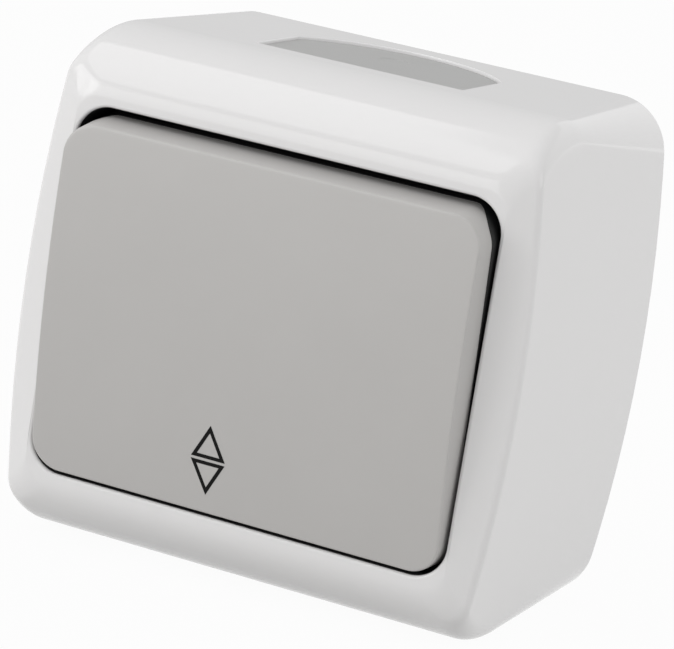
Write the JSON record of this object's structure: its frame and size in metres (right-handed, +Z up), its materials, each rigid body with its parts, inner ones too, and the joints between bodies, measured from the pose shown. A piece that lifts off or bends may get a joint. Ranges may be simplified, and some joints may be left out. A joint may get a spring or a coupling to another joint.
{
  "type": "outdoor weatherproof switch",
  "caption": "Surface-mounted weatherproof two-way light switch: white barrel-sided cover with a wide grey tilting rocker and a grey cable seal in its top.",
  "frame": {"origin": "middle of the wall face", "axes": "+Z up, +X to the right seen from the front, +Y into the wall, so the rocker faces -Y"},
  "size_m": [0.068, 0.0443, 0.0644],
  "materials": {
    "housing_white": "glossy moulded ABS, white",
    "base_white": "moulded ABS, white, satin",
    "rocker_grey": "moulded ABS, grey, satin",
    "seal_grey": "moulded elastomer, grey, matt",
    "gasket_black": "moulded rubber, black",
    "mechanism_ivory": "moulded polyamide, ivory",
    "toggle_black": "moulded polyamide, black",
    "brass": "stamped brass strip",
    "contact_silver": "silver alloy contact rivet",
    "zinc_steel": "zinc-plated steel"
  },
  "bodies": {
    "housing": {"cover": "housing_white", "top_cable_seal": "seal_grey", "base_box": "base_white", "cover_gasket": "gasket_black", "switch_body": "mechanism_ivory", "mechanism_lid": "mechanism_ivory", "rocker_gasket": "gasket_black", "lever_pin": "zinc_steel", "upper_contact_strip": "brass", "lower_contact_strip": "brass", "fixed_contact_tips": "contact_silver", "common_contact": "brass", "terminal_cages": "brass", "terminal_screws": "zinc_steel", "cover_screws": "zinc_steel", "body_screws": "zinc_steel"},
    "rocker": {"rocker": "rocker_grey", "toggle": "toggle_black", "plunger_spring": "zinc_steel"},
    "plunger": {"plunger": "mechanism_ivory"},
    "see_saw": {"contact_lever": "brass", "moving_contact_tips": "contact_silver"}
  },
  "joints": [
    {"name": "rocker_tilt", "type": "hinge", "parent": "housing", "child": "rocker", "pos_m": [0, -0.0341, 0], "axis": [-1, 0, 0], "range_deg": [0, 9]},
    {"name": "plunger_slide", "type": "slide", "parent": "rocker", "child": "plunger", "axis": [0, -0.9969, -0.0785], "range_m": [0, 0.0008], "deforming": ["plunger_spring"]},
    {"name": "contact_swing", "type": "hinge", "parent": "housing", "child": "see_saw", "pos_m": [0, -0.0121, 0], "axis": [1, 0, 0], "range_deg": [0, 16]}
  ],
  "couplings": [
    {"joint": "contact_swing", "follows": "rocker_tilt", "ratio": 1.7775}
  ]
}
